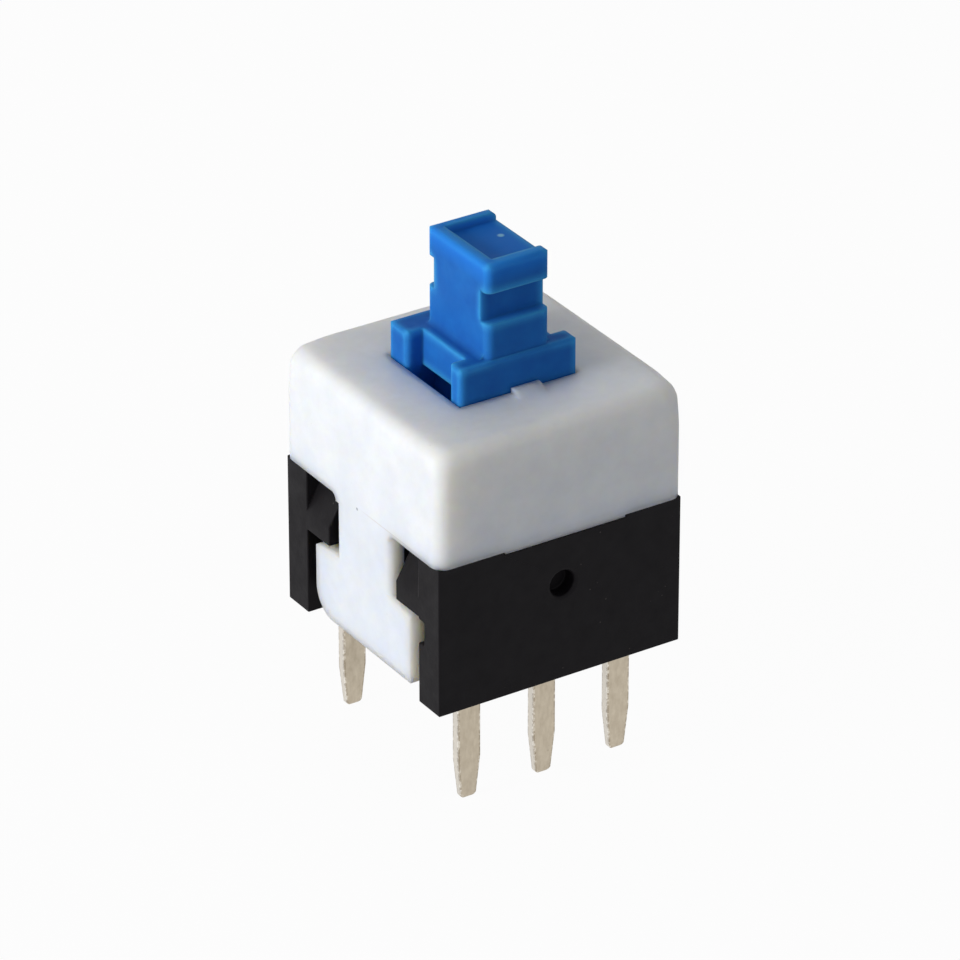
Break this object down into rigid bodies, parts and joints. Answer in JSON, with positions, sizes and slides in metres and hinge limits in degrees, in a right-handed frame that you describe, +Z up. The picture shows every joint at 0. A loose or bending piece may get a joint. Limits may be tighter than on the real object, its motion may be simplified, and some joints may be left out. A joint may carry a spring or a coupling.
{
  "type": "momentary push switch",
  "caption": "Square board-mount push switch: dark base with two upright walls, pale clip-on cover, sprung blue plunger with a notched stem, flat tapered pins.",
  "frame": {"origin": "centre of the pin pattern, on the plane of the board that the feet of the base's walls stand on", "axes": "+Z up out of the board along the plunger, X along the rows of pins, front wall towards -Y"},
  "size_m": [0.0082, 0.0082, 0.0156],
  "materials": {
    "dark_plastic": "satin moulded",
    "pale_plastic": "smooth moulded, slightly translucent",
    "blue_plastic": "smooth moulded",
    "spring_wire": "drawn wire",
    "contact_bronze": "rolled strip",
    "tinned_brass": "dull tin plate"
  },
  "bodies": {
    "housing": {"base": "dark_plastic", "cover": "pale_plastic", "return_spring": "spring_wire", "front_left_terminal": "tinned_brass", "front_middle_terminal": "tinned_brass", "front_right_terminal": "tinned_brass", "back_left_terminal": "tinned_brass", "back_middle_terminal": "tinned_brass", "back_right_terminal": "tinned_brass"},
    "button": {"plunger": "blue_plastic", "front_contact": "contact_bronze", "back_contact": "contact_bronze"}
  },
  "joints": [
    {"name": "plunger_press", "type": "slide", "parent": "housing", "child": "button", "axis": [0, 0, -1], "range_m": [0, 0.002], "stiffness_N_per_m": 900, "deforming": ["return_spring"]}
  ]
}
